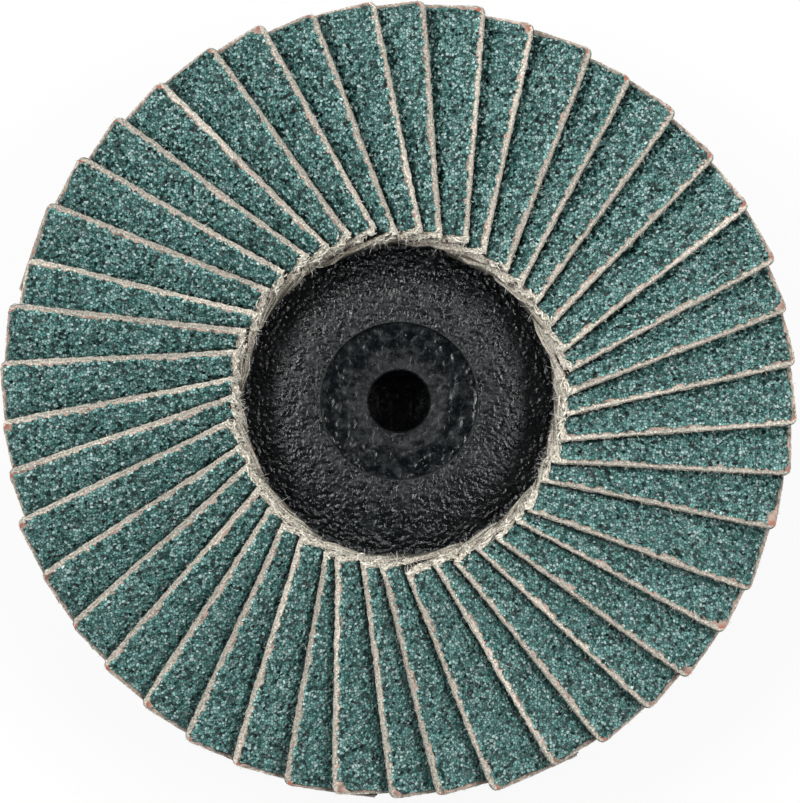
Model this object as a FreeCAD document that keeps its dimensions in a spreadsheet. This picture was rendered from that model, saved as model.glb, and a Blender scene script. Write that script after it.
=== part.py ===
import FreeCAD, Part
import math
import os
import random
import re

import Sketcher

# Quick change flap disc, in millimetres, +Z up.
# The origin is the centre of the stud's end face, and the disc stands on that face.
# The working side faces up. Seen from above, each flap lies over its clockwise neighbour.

# The driving sizes: alias, value and what it measures.
SIZES = (
    ("flap_count", 45, "flaps in the ring"),
    ("first_turn", 3.3, "degrees clockwise from +Y to the first flap"),
    ("flap_inner_cut", 14.8, "axis to the inner cut of a flap"),
    ("flap_outer_cut", 37.1, "axis to the outer cut of a flap"),
    ("flap_width", 10.0, "bonded root to free edge, along the cloth"),
    ("flap_thickness", 1.0, "cloth with its coat of grain"),
    ("flap_clearance", 0.12, "room between neighbours at the inner cut"),
    ("flap_bend", 10.0, "degrees that the cloth bends between root and free edge"),
    ("flap_corner", 0.45, "clipped tip of the outer free corner"),
    ("flap_overhang", 3.6, "outer cut of a flap beyond the plate's rim"),
    ("edge_offset", 5.45, "free edge, clockwise of the radius that it runs along"),
    ("lay_slide", 0.6, "how far a flap may lie up or down its slope"),
    ("lay_reach", 0.25, "how far a flap may lie in or out"),
    ("lay_yaw", 1.15, "degrees that a flap may lie askew in its own plane"),
    ("lay_drift", 1.3, "degrees that the row of flaps runs ahead or behind round the ring"),
    ("drift_turn", 125.0, "degrees clockwise from +Y to where the row is furthest ahead"),
    ("glue_film", 0.1, "least resin under a flap's root"),
    ("root_depth", 0.7, "least depth of a root in the resin"),
    ("bed_margin", 0.4, "resin held back from the rim's bevel and from the flaps' inner cut"),
    ("stud_length", 7.2, "stud end to the seat"),
    ("stud_radius", 4.1, "stud between its threads"),
    ("stud_bevel", 0.4, "lead-in on the stud's end"),
    ("collar_radius", 5.4, "plain collar at the stud's foot"),
    ("collar_height", 0.8, "plain collar at the stud's foot"),
    ("thread_radius", 5.2, "crest of the quick change thread"),
    ("thread_lead", 4.2, "rise of the thread in one turn"),
    ("thread_start", 0.5, "stud end to the start of the thread"),
    ("thread_foot", 1.9, "width of the thread at the stud"),
    ("thread_crest", 0.8, "width of the thread at its crest"),
    ("thread_bury", 0.2, "depth that the thread's foot runs into the stud"),
    ("seat_radius", 16.0, "flat seat that meets the holder"),
    ("seat_step", 1.0, "seat below the flange"),
    ("seat_bevel", 0.5, "bevel on the seat's edge"),
    ("flange_thickness", 2.0, "flange beside the seat"),
    ("rim_thickness", 1.4, "flange at its rim"),
    ("rim_bevel", 0.35, "bevels on the rim"),
    ("hub_gap", 0.25, "room between the hub and the flaps"),
    ("hub_rise", 1.0, "middle of the hub above the flange"),
    ("hub_flat", 8.0, "radius where the hub starts to fall away"),
    ("hub_knee", 11.5, "radius where the hub falls away more steeply"),
    ("knee_drop", 0.3, "fall of the hub from its flat to its knee"),
    ("recess_radius", 7.35, "shallow round recess in the hub"),
    ("recess_depth", 0.4, "shallow round recess in the hub"),
    ("core_radius", 2.9, "blind core hole"),
    ("core_floor", 2.0, "wall left under the core hole"),
    ("core_bevel", 0.15, "broken edge of the core hole"),
)

# Sizes that follow from the driving ones: alias, formula and what it measures.
# Neighbouring flaps lie closest at the inner cut, one pitch apart, so a flap's thickness there
# sets how steeply the flaps must stand.
DERIVED = (
    ("pitch_angle", "360 / flap_count", "degrees from flap to flap"),
    ("inner_pitch", "2 * flap_inner_cut * sin(pitch_angle / 2)", "flap to flap at the inner cut"),
    (
        "lap_angle",
        "asin((flap_thickness + flap_clearance) / inner_pitch) / 1deg",
        "slope of a flap at its free edge",
    ),
    ("root_angle", "lap_angle + flap_bend", "slope of a flap at its root"),
    ("bend_radius", "flap_width * 180 / (pi * flap_bend)", "radius of the bent cloth's middle"),
    ("flap_length", "flap_outer_cut - flap_inner_cut", "inner cut to outer cut"),
    ("flap_middle", "(flap_outer_cut + flap_inner_cut) / 2", "axis to the middle of a flap"),
    (
        "lay_drop",
        "lay_slide * sin(lap_angle) + flap_length / 2 * sin(lay_yaw) * sin(root_angle)",
        "how far the lay can raise or lower a root",
    ),
    ("flange_top", "stud_length + seat_step + flange_thickness", "height of the flange's top"),
    ("hub_top", "flange_top + hub_rise", "height of the hub"),
    ("hub_radius", "flap_inner_cut - lay_reach - hub_gap", "foot of the hub"),
    ("rim_radius", "flap_outer_cut - flap_overhang", "flange at its rim"),
    ("bed_depth", "glue_film + 2 * lay_drop + root_depth", "depth of the resin"),
    (
        "root_height",
        "flange_top + glue_film + lay_drop + flap_thickness / 2 * cos(root_angle)",
        "height of the middle of a root",
    ),
    (
        "edge_height",
        "root_height + bend_radius * (cos(lap_angle) - cos(root_angle))",
        "height of the middle of a free edge",
    ),
    ("collar_foot", "stud_length - collar_height", "height of the collar's lower face"),
    ("thread_middle", "thread_start + thread_foot / 2", "height where the thread starts"),
)

# The flaps are laid by hand, so each lies a little off its even place.
LAY_SEED = 2100

UP = FreeCAD.Vector(0, 0, 1)

doc = FreeCAD.newDocument("flap_disc")
sheet = doc.addObject("Spreadsheet::Sheet", "sizes")


def fill_sheet():
    rows = [(alias, str(value), meaning) for alias, value, meaning in SIZES]
    rows += [(alias, "=" + formula, meaning) for alias, formula, meaning in DERIVED]
    for row, (alias, content, meaning) in enumerate(rows, start=1):
        sheet.set(f"A{row}", meaning)
        sheet.set(f"B{row}", content)
        sheet.setAlias(f"B{row}", alias)
    doc.recompute()


def value_of(formula):
    """Work out a formula of the sheet's aliases, now."""
    return float(sheet.evalExpression(formula))


def bind(item, path, formula):
    """Bind a property or constraint of an object to a formula of the sheet's aliases."""
    aliases = [row[0] for row in SIZES + DERIVED]
    words = re.compile(r"\b(" + "|".join(aliases) + r")\b")
    item.setExpression(path, words.sub(r"sizes.\1", formula))


# Sketch helpers

def new_body(label):
    body = doc.addObject("PartDesign::Body", label)
    body.Label = label
    return body


def new_sketch(body, name, role, height=None):
    """A sketch on one of the body's own origin planes, raised to a height if one is given."""
    planes = [item for item in body.Origin.OriginFeatures if item.Role == role]
    sketch = body.newObject("Sketcher::SketchObject", body.Name + "_" + name)
    sketch.AttachmentSupport = (planes[0], [""])
    sketch.MapMode = "FlatFace"
    if height:
        bind(sketch, "AttachmentOffset.Base.z", height)
    return sketch


def constrain(sketch, name, kind, places, formula):
    """A named constraint whose value follows a formula of the sheet's aliases."""
    index = sketch.addConstraint(Sketcher.Constraint(kind, *places, value_of(formula)))
    sketch.renameConstraint(index, name)
    bind(sketch, "Constraints." + name, formula)


def place_point(sketch, name, line, end, across, up):
    """Hold one end of a line at a distance across and up from the sketch's origin."""
    origin = (-1, 1)
    vertical_axis = -2
    horizontal_axis = -1
    if across:
        constrain(sketch, name + "_across", "DistanceX", (*origin, line, end), across)
    else:
        sketch.addConstraint(Sketcher.Constraint("PointOnObject", line, end, vertical_axis))
    if up:
        constrain(sketch, name + "_up", "DistanceY", (*origin, line, end), up)
    else:
        sketch.addConstraint(Sketcher.Constraint("PointOnObject", line, end, horizontal_axis))


def outline(sketch, corners):
    """A closed outline of straight lines through named corners, each held by two formulas."""
    points = []
    for name, across, up in corners:
        x = value_of(across) if across else 0
        y = value_of(up) if up else 0
        points.append(FreeCAD.Vector(x, y, 0))
    count = len(points)
    for index in range(count):
        sketch.addGeometry(Part.LineSegment(points[index], points[(index + 1) % count]))
    for index in range(count):
        sketch.addConstraint(Sketcher.Constraint("Coincident", index, 2, (index + 1) % count, 1))
    for index, (name, across, up) in enumerate(corners):
        place_point(sketch, name, index, 1, across, up)


def circle(sketch, radius):
    centre = FreeCAD.Vector(0, 0, 0)
    sketch.addGeometry(Part.Circle(centre, UP, value_of(radius)))
    sketch.addConstraint(Sketcher.Constraint("Coincident", 0, 3, -1, 1))
    constrain(sketch, "radius", "Radius", (0,), radius)


# Edge finders

def edge_near(feature, point):
    """Name of the edge whose middle lies nearest to a point."""
    edges = feature.Shape.Edges
    gaps = [edge.CenterOfMass.distanceToPoint(point) for edge in edges]
    return "Edge" + str(gaps.index(min(gaps)) + 1)


def rings(feature, places):
    """Names of the round edges about the axis at the given radii and heights."""
    names = []
    for number, edge in enumerate(feature.Shape.Edges, start=1):
        if not isinstance(edge.Curve, Part.Circle):
            continue
        for radius, height in places:
            near_radius = abs(edge.Curve.Radius - value_of(radius)) < 0.001
            near_height = abs(edge.Curve.Center.z - value_of(height)) < 0.001
            if near_radius and near_height:
                names.append("Edge" + str(number))
    return names


# Backing plate: one moulding of flange, hub, seat and stud

def turned_plate(body):
    """The plate's half section, turned about the axis."""
    sketch = new_sketch(body, "section", "XZ_Plane")
    outline(
        sketch,
        (
            ("end_middle", None, None),
            ("end_edge", "stud_radius", None),
            ("stud_foot", "stud_radius", "collar_foot"),
            ("collar_edge", "collar_radius", "collar_foot"),
            ("seat_inside", "collar_radius", "stud_length"),
            ("seat_edge", "seat_radius", "stud_length"),
            ("flange_foot", "seat_radius", "stud_length + seat_step"),
            ("rim_bottom", "rim_radius", "flange_top - rim_thickness"),
            ("rim_top", "rim_radius", "flange_top"),
            ("hub_foot", "hub_radius", "flange_top"),
            ("hub_knee", "hub_knee", "hub_top - knee_drop"),
            ("hub_shoulder", "hub_flat", "hub_top"),
            ("hub_middle", None, "hub_top"),
        ),
    )
    turned = body.newObject("PartDesign::Revolution", "plate_turned")
    turned.Profile = sketch
    turned.ReferenceAxis = (sketch, ["V_Axis"])
    turned.Angle = 360
    doc.recompute()


def sink(body, name, radius, height, depth):
    """A round pocket about the axis, from a height downwards."""
    sketch = new_sketch(body, name + "_circle", "XY_Plane", height)
    circle(sketch, radius)
    pocket = body.newObject("PartDesign::Pocket", name)
    pocket.Profile = sketch
    bind(pocket, "Length", depth)
    doc.recompute()
    if pocket.Shape.Volume >= pocket.BaseFeature.Shape.Volume:
        raise ValueError(name + " removes nothing")
    return pocket


def bevel(body, name, base, formula, *places):
    """A bevel on the round edges at the given radii and heights."""
    chamfer = body.newObject("PartDesign::Chamfer", name)
    chamfer.Base = (base, rings(base, places))
    bind(chamfer, "Size", formula)
    doc.recompute()
    return chamfer


def add_thread(body):
    """The coarse thread: a trapezium wound about the stud, from its end up into the collar."""
    sketch = new_sketch(body, "thread_profile", "XZ_Plane")
    foot = "stud_radius - thread_bury"
    outline(
        sketch,
        (
            ("lower_foot", foot, "thread_middle - thread_foot / 2"),
            ("lower_crest", "thread_radius", "thread_middle - thread_crest / 2"),
            ("upper_crest", "thread_radius", "thread_middle + thread_crest / 2"),
            ("upper_foot", foot, "thread_middle + thread_foot / 2"),
        ),
    )
    thread = body.newObject("PartDesign::AdditiveHelix", "thread")
    thread.Profile = sketch
    thread.ReferenceAxis = (sketch, ["V_Axis"])
    thread.Mode = "pitch-height-angle"
    thread.Angle = 0
    thread.Growth = 0
    thread.LeftHanded = False
    bind(thread, "Pitch", "thread_lead")
    bind(thread, "Height", "collar_foot - thread_middle")
    doc.recompute()


def backing_plate():
    body = new_body("backing_plate")
    turned_plate(body)
    sink(body, "recess", "recess_radius", "hub_top", "recess_depth")
    cored = sink(body, "core", "core_radius", "hub_top", "hub_top - core_floor")
    rim_edges = (("rim_radius", "flange_top"), ("rim_radius", "flange_top - rim_thickness"))
    rimmed = bevel(body, "rim_edge", cored, "rim_bevel", *rim_edges)
    seated = bevel(body, "seat_edge", rimmed, "seat_bevel", ("seat_radius", "stud_length"))
    mouth = ("core_radius", "hub_top - recess_depth")
    broken = bevel(body, "core_edge", seated, "core_bevel", mouth)
    bevel(body, "stud_lead", broken, "stud_bevel", ("stud_radius", "0"))
    add_thread(body)
    return body


# Flaps: bent strips of coated cloth, all alike

def flap_section(body):
    """Section across a flap, as a bent strip with the middle of its free edge at the origin."""
    sketch = new_sketch(body, "section", "XZ_Plane")
    slope = math.radians(value_of("lap_angle"))
    start = math.radians(90 + value_of("lap_angle"))
    end = math.radians(90 + value_of("root_angle"))
    radius = value_of("bend_radius")
    half = value_of("flap_thickness / 2")
    centre = FreeCAD.Vector(radius * math.sin(slope), -radius * math.cos(slope), 0)
    top = sketch.addGeometry(Part.ArcOfCircle(Part.Circle(centre, UP, radius + half), start, end))
    under = sketch.addGeometry(Part.ArcOfCircle(Part.Circle(centre, UP, radius - half), start, end))
    edge = sketch.addGeometry(
        Part.LineSegment(sketch.getPoint(under, 1), sketch.getPoint(top, 1))
    )
    root = sketch.addGeometry(
        Part.LineSegment(sketch.getPoint(under, 2), sketch.getPoint(top, 2))
    )
    sketch.addConstraint(Sketcher.Constraint("Coincident", edge, 1, under, 1))
    sketch.addConstraint(Sketcher.Constraint("Coincident", edge, 2, top, 1))
    sketch.addConstraint(Sketcher.Constraint("Coincident", root, 1, under, 2))
    sketch.addConstraint(Sketcher.Constraint("Coincident", root, 2, top, 2))
    sketch.addConstraint(Sketcher.Constraint("Coincident", under, 3, top, 3))
    sketch.addConstraint(Sketcher.Constraint("Symmetric", edge, 1, edge, 2, -1, 1))
    sketch.addConstraint(Sketcher.Constraint("PointOnObject", top, 3, edge))
    sketch.addConstraint(Sketcher.Constraint("PointOnObject", top, 3, root))
    constrain(sketch, "top_radius", "Radius", (top,), "bend_radius + flap_thickness / 2")
    constrain(sketch, "under_radius", "Radius", (under,), "bend_radius - flap_thickness / 2")
    constrain_angle(sketch, "edge_angle", edge, "90 + lap_angle")
    constrain_angle(sketch, "root_angle", root, "90 + root_angle")
    return sketch


def constrain_angle(sketch, name, line, degrees):
    """Hold the direction of a line, in degrees from the sketch's horizontal."""
    angle = math.radians(value_of(degrees))
    index = sketch.addConstraint(Sketcher.Constraint("Angle", line, angle))
    sketch.renameConstraint(index, name)
    bind(sketch, "Constraints." + name, f"({degrees}) * 1deg")


def flap_placement(number):
    """A flap's even place in the ring, put a little off it by the hand that laid it."""
    lay = random.Random(LAY_SEED + number)
    slide = lay.uniform(-1, 1) * value_of("lay_slide")
    reach = lay.uniform(-1, 1) * value_of("lay_reach")
    yaw = lay.uniform(-1, 1) * value_of("lay_yaw")
    slope = math.radians(value_of("lap_angle"))
    up_slope = FreeCAD.Vector(math.cos(slope), 0, math.sin(slope))
    normal = FreeCAD.Vector(-math.sin(slope), 0, math.cos(slope))
    even = FreeCAD.Vector(
        value_of("edge_offset"), value_of("flap_middle") + reach, value_of("edge_height")
    )
    laid = FreeCAD.Placement(even + up_slope * slide, FreeCAD.Rotation(normal, yaw))
    clockwise = value_of("first_turn") + (number - 1) * value_of("pitch_angle")
    ahead = value_of("lay_drift") * math.cos(math.radians(clockwise - value_of("drift_turn")))
    turned = FreeCAD.Placement(FreeCAD.Vector(), FreeCAD.Rotation(UP, -clockwise - ahead))
    return turned * laid


def flap(number):
    body = new_body(f"flap_{number:02d}")
    strip = body.newObject("PartDesign::Pad", body.Name + "_strip")
    strip.Profile = flap_section(body)
    strip.Midplane = True
    bind(strip, "Length", "flap_length")
    doc.recompute([body])
    free_corner = FreeCAD.Vector(0, value_of("flap_length / 2"), 0)
    clipped = body.newObject("PartDesign::Chamfer", body.Name + "_corner")
    clipped.Base = (strip, [edge_near(strip, free_corner)])
    bind(clipped, "Size", "flap_corner")
    body.Placement = flap_placement(number)
    return body


# Adhesive bed: a ring of resin that the flaps' roots stand in

def bed_cylinder(name, radius):
    cylinder = doc.addObject("Part::Cylinder", name)
    bind(cylinder, "Radius", radius)
    bind(cylinder, "Height", "bed_depth")
    bind(cylinder, "Placement.Base.z", "flange_top")
    return cylinder


def adhesive_bed(flaps):
    outer = bed_cylinder("bed_outer", "rim_radius - rim_bevel - bed_margin")
    inner = bed_cylinder("bed_inner", "flap_inner_cut + bed_margin")
    ring = doc.addObject("Part::Cut", "bed_ring")
    ring.Base = outer
    ring.Tool = inner
    roots = doc.addObject("Part::Compound", "bed_roots")
    roots.Links = flaps
    bed = doc.addObject("Part::Cut", "adhesive_bed")
    bed.Base = ring
    bed.Tool = roots
    bed.Label = "adhesive_bed"
    return bed


# Check and export

def check(nodes):
    for item in doc.Objects:
        if "Invalid" in item.State or "Error" in item.State:
            raise ValueError(item.Name + " failed: " + str(item.State))
    for node in nodes:
        if node.Shape.isNull() or not node.Shape.isValid() or not node.Shape.Solids:
            raise ValueError(node.Label + " has no valid solid")


def export(nodes):
    os.makedirs("parts", exist_ok=True)
    for node in nodes:
        node.Shape.exportStep("parts/" + node.Label + ".step")


fill_sheet()
plate = backing_plate()
flaps = [flap(number) for number in range(1, int(value_of("flap_count")) + 1)]
bed = adhesive_bed(flaps)
doc.recompute()
check([plate, bed] + flaps)
export([plate, bed] + flaps)
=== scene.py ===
"""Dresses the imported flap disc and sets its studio. It is run as a script and laid out as an add-on."""

import math
from functools import partial

import bpy
import numpy as np
from bpy.props import FloatProperty, FloatVectorProperty, IntProperty, PointerProperty
from mathutils import Matrix, Vector


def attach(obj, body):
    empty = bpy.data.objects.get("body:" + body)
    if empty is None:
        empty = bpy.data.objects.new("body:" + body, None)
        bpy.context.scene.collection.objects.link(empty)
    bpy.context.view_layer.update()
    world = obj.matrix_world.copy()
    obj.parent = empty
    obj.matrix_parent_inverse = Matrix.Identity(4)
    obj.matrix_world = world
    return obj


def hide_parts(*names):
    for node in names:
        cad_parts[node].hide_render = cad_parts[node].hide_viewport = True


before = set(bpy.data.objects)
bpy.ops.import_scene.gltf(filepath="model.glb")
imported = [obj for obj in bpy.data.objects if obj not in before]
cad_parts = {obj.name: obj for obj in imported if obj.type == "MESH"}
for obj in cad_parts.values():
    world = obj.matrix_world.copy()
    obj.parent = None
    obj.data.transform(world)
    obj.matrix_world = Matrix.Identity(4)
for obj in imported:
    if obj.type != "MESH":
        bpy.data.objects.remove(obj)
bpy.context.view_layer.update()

bl_info = {
    "name": "Flap disc",
    "version": (1, 0, 0),
    "blender": (4, 5, 0),
    "location": "3D View > Sidebar > Flap disc",
    "description": "Cloth flaps, backing plate, resin bed and studio of a small flap disc",
    "category": "Object",
}

MM = 0.001
FULL_TURN = 2 * math.pi
FLAPS = sorted(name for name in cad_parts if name.startswith("flap_"))
PLATE = "backing_plate"
BED = "adhesive_bed"

# Sockets of the Mix node that share their names.
NUMBER_A, NUMBER_B = 2, 3
COLOUR_A, COLOUR_B, COLOUR_OUT = 6, 7, 2
VECTOR_A, VECTOR_B, VECTOR_OUT = 4, 5, 1


# ---- colours ----


def linear(colour):
    """An sRGB hex colour as linear red, green and blue."""
    parts = (int(colour[start:start + 2], 16) / 255 for start in (1, 3, 5))
    return tuple(part / 12.92 if part <= 0.04045 else ((part + 0.055) / 1.055) ** 2.4 for part in parts)


def opaque(colour):
    """A linear colour, or the hex of one, with full alpha."""
    return (*(linear(colour) if isinstance(colour, str) else colour), 1.0)


def shades(colour, *stops):
    """Stops of a ramp, from places and how light one linear colour is there."""
    return [(place, tuple(min(part * light, 1.0) for part in colour)) for place, light in stops]


# ---- settings ----


def size_setting(name, description, millimetres):
    """A length that a user may change."""
    return FloatProperty(
        name=name, description=description, default=millimetres * MM, min=0.0, precision=5,
        subtype="DISTANCE", unit="LENGTH",
    )


def colour_setting(name, description, colour):
    """A colour that a user may change."""
    return FloatVectorProperty(
        name=name, description=description, default=linear(colour), size=3, min=0.0, max=1.0,
        subtype="COLOR",
    )


def count_setting(name, description, count):
    """A number of like pieces that a user may change."""
    return IntProperty(name=name, description=description, default=count, min=0)


class FlapDiscFlapSettings(bpy.types.PropertyGroup):
    """Sizes and colours of the coated cloth."""

    grit_pitch: size_setting("Grain size", "Distance between the grains of the coat", 0.27)
    grit_relief: size_setting("Grain relief", "How far a grain stands above or below the coat", 0.07)
    coat_drop: size_setting("Coat sag", "Mean level of the coat below the flap's full thickness", 0.05)
    corner_round: size_setting("Corner round", "Worn round on the outer free corner", 0.75)
    edge_fibres: count_setting("Edge fibres", "Loose fibres on each free edge", 60)
    inner_fibres: count_setting("Inner fibres", "Loose fibres on each inner cut", 40)
    outer_fibres: count_setting("Outer fibres", "Loose fibres on each outer cut", 14)
    yarns: count_setting("Frayed yarns", "Pieces of yarn lying along each inner cut", 8)
    grain_colour: colour_setting("Grain", "Middle colour of the grains and their resin", "#457570")
    hollow_colour: colour_setting("Hollows", "Colour of the resin deep between grains", "#051512")
    # The palest grains are a painted glint: grains that catch a lamp, painted pale.
    painted_glint_colour: colour_setting("Palest grain", "Colour of the palest grains", "#a4bcb9")
    cloth_colour: colour_setting("Cloth", "Colour of the cut cloth", "#b4afa3")
    resin_colour: colour_setting("Maker coat", "Colour of the resin under chipped grain", "#8f7d72")
    scorch_colour: colour_setting("Bare resin", "Colour of the resin at worn corners", "#a26656")
    fibre_colour: colour_setting("Fibre", "Colour of single fibres", "#e4e0d3")


class FlapDiscPlateSettings(bpy.types.PropertyGroup):
    """Sizes and colours of the moulded backing plate and the resin bed."""

    grain_pitch: size_setting("Hub grain", "Size of the moulded pebbles on the hub", 0.4)
    grain_relief: size_setting("Hub grain relief", "Height of the moulded pebbles on the hub", 0.075)
    plastic_colour: colour_setting("Plastic", "Colour of the moulded plate", "#080d10")
    bed_colour: colour_setting("Resin bed", "Colour of the resin that holds the flaps", "#6d5133")


class FlapDiscStageSettings(bpy.types.PropertyGroup):
    """Camera and lamps."""

    camera_distance: size_setting("Camera distance", "Lens to the disc", 900.0)
    camera_lean: FloatProperty(
        name="Camera lean", description="How far the camera leans from straight above",
        default=math.radians(1.1), subtype="ANGLE", unit="ROTATION",
    )
    view_width: size_setting("View width", "Width of the picture at the top of the flaps", 75.1)
    lamp_power: FloatProperty(
        name="Lamp power", description="Power of a full soft lamp", default=2.85, min=0.0, unit="POWER",
    )
    sky_light: FloatProperty(
        name="Sky light", description="Even light from all round", default=0.1, min=0.0,
    )
    ceiling: FloatProperty(
        name="Ceiling", description="Brightness of the dark ceiling in reflections", default=0.03, min=0.0,
    )
    floor_colour: colour_setting("Floor", "Colour of the floor", "#e8e8e6")


# ---- mesh helpers ----


def column(items, name, size):
    """One property of every vertex or face of a mesh, as rows of numbers."""
    values = np.empty(len(items) * size, np.float32)
    items.foreach_get(name, values)
    return values.reshape(-1, size).astype(float)


def unit(vectors):
    """Vectors made one long."""
    return vectors / np.linalg.norm(vectors, axis=-1, keepdims=True)


def ease(values):
    """0 to 1 with soft ends, from numbers that run past both."""
    share = np.clip(values, 0, 1)
    return share * share * (3 - 2 * share)


def lumps(points, pitch, rng):
    """Smooth noise from 0 to 1 at flat points, with lumps about one pitch across."""
    spots = points / pitch
    whole = np.floor(spots).astype(int)
    low = whole.min(axis=0)
    lattice = rng.random(tuple(whole.max(axis=0) - low + 2))
    part = ease(spots - whole)
    right, up = part.T
    x, y = (whole - low).T
    near = lattice[x, y] * (1 - up) + lattice[x, y + 1] * up
    far = lattice[x + 1, y] * (1 - up) + lattice[x + 1, y + 1] * up
    return near * (1 - right) + far * right


def grains(points, pitch, rng, tilt, dome):
    """Height of grains, about -1 to 1, at flat points: each is a tilted facet or a dome round its seed."""
    spots = points / pitch
    whole = np.floor(spots).astype(int)
    low = whole.min(axis=0) - 1
    shape = tuple(whole.max(axis=0) - low + 2)
    seeds = rng.random((*shape, 2))
    rises = rng.uniform(-1, 1, shape) / (1 + dome)
    tilts = rng.normal(0, tilt, (*shape, 2))
    nearest = np.full(len(points), np.inf)
    height = np.zeros(len(points))
    for step in np.ndindex(3, 3):
        cell = whole + step - 1
        index = tuple((cell - low).T)
        away = spots - cell - seeds[index]
        distance = np.hypot(*away.T)
        facet = rises[index] + (tilts[index] * away).sum(axis=1) - dome * distance ** 2
        height = np.where(distance < nearest, facet, height)
        nearest = np.minimum(distance, nearest)
    return np.clip(height, -1.2, 1.2)


def flipped(faces):
    """Faces turned to look the other way."""
    return [tuple(reversed(face)) for face in faces]


def shifted(faces, shift):
    """Faces whose points come that much later in a list."""
    return [tuple(index + shift for index in face) for face in faces]


def wrapped(rows, turn):
    """Faces round a tube whose points are listed row by row, turn points to a row."""
    faces = []
    for here in range(0, (rows - 1) * turn, turn):
        for spot in range(turn):
            after = (spot + 1) % turn
            faces.append((here + spot, here + after, here + turn + after, here + turn + spot))
    return faces


def zip_chains(first, second, first_marks, second_marks):
    """Triangles between two chains of vertices, matched by their rising marks."""
    faces = []
    here = there = 0
    while here < len(first) - 1 or there < len(second) - 1:
        if there == len(second) - 1 or (
            here < len(first) - 1 and first_marks[here + 1] <= second_marks[there + 1]
        ):
            faces.append((first[here], first[here + 1], second[there]))
            here += 1
        else:
            faces.append((first[here], second[there + 1], second[there]))
            there += 1
    return faces


def join_parts(parts):
    """Points and faces of several forms as one list of each."""
    points = []
    faces = []
    start = 0
    for form_points, form_faces in parts:
        points.append(form_points)
        faces.extend(shifted(form_faces, start))
        start += len(form_points)
    return np.concatenate(points), faces


def tubes(paths, radii, sides):
    """Closed tapering tubes along many paths at once, as their points and faces."""
    count, steps = paths.shape[:2]
    ahead = unit(np.gradient(paths, axis=1))
    side = unit(np.cross(ahead, (0.36, 0.48, 0.8)))
    other = np.cross(ahead, side)
    turns = np.arange(sides) * FULL_TURN / sides
    ring = side[:, :, None] * np.cos(turns)[:, None] + other[:, :, None] * np.sin(turns)[:, None]
    points = paths[:, :, None] + ring * radii[..., None, None]
    size = steps * sides
    tube = wrapped(steps, sides) + [tuple(reversed(range(sides))), tuple(range(size - sides, size))]
    faces = []
    for number in range(count):
        faces.extend(shifted(tube, number * size))
    return points.reshape(-1, 3), faces


def new_object(name, data):
    """An object that stands in the scene."""
    item = bpy.data.objects.new(name, data)
    bpy.context.scene.collection.objects.link(item)
    return item


def new_piece(name, points, faces, materials, replaced):
    """A mesh object in the row frame that rides on the part and stands for a CAD node."""
    mesh = bpy.data.meshes.new(name)
    mesh.from_pydata(points.tolist(), [], faces)
    for material in materials:
        mesh.materials.append(material)
    piece = new_object(name, mesh)
    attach(piece, "root")
    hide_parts(replaced)
    return piece


def vertex_numbers(mesh, name, values):
    """Stores one number on each vertex, for the materials."""
    attribute = mesh.attributes.new(name, "FLOAT", "POINT")
    attribute.data.foreach_set("value", np.asarray(values, np.float32))


def vertex_map(mesh, spots):
    """A UV map in millimetres from a flat place for each vertex."""
    corners = np.empty(len(mesh.loops), np.int32)
    mesh.loops.foreach_get("vertex_index", corners)
    layer = mesh.uv_layers.new(name="cloth_mm")
    layer.data.foreach_set("uv", (spots[corners] / MM).astype(np.float32).ravel())


# ---- materials ----


def feed(node, inputs):
    """Gives the inputs of a node their values, or links them to the sockets that feed them."""
    for name, value in inputs.items():
        if isinstance(value, bpy.types.NodeSocket):
            node.id_data.links.new(value, node.inputs[name])
        else:
            node.inputs[name].default_value = value


def add_node(tree, kind, inputs=None, stops=(), **settings):
    """Adds a node with its settings, inputs and stops of a ramp, and returns its outputs."""
    node = tree.nodes.new("ShaderNode" + kind)
    for name, value in settings.items():
        setattr(node, name, value)
    elements = node.color_ramp.elements if stops else ()
    while len(elements) < len(stops):
        elements.new(0.5)
    for element, (place, colour) in zip(elements, stops):
        element.position = place
        element.color = opaque(colour)
    feed(node, inputs or {})
    return node.outputs


def new_material(name):
    """An empty material, what adds nodes to it, its shader, and the place that its patterns follow."""
    material = bpy.data.materials.new(name)
    material.use_nodes = True
    add = partial(add_node, material.node_tree)
    return material, add, material.node_tree.nodes["Principled BSDF"], add("TexCoord")["Object"]


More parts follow.
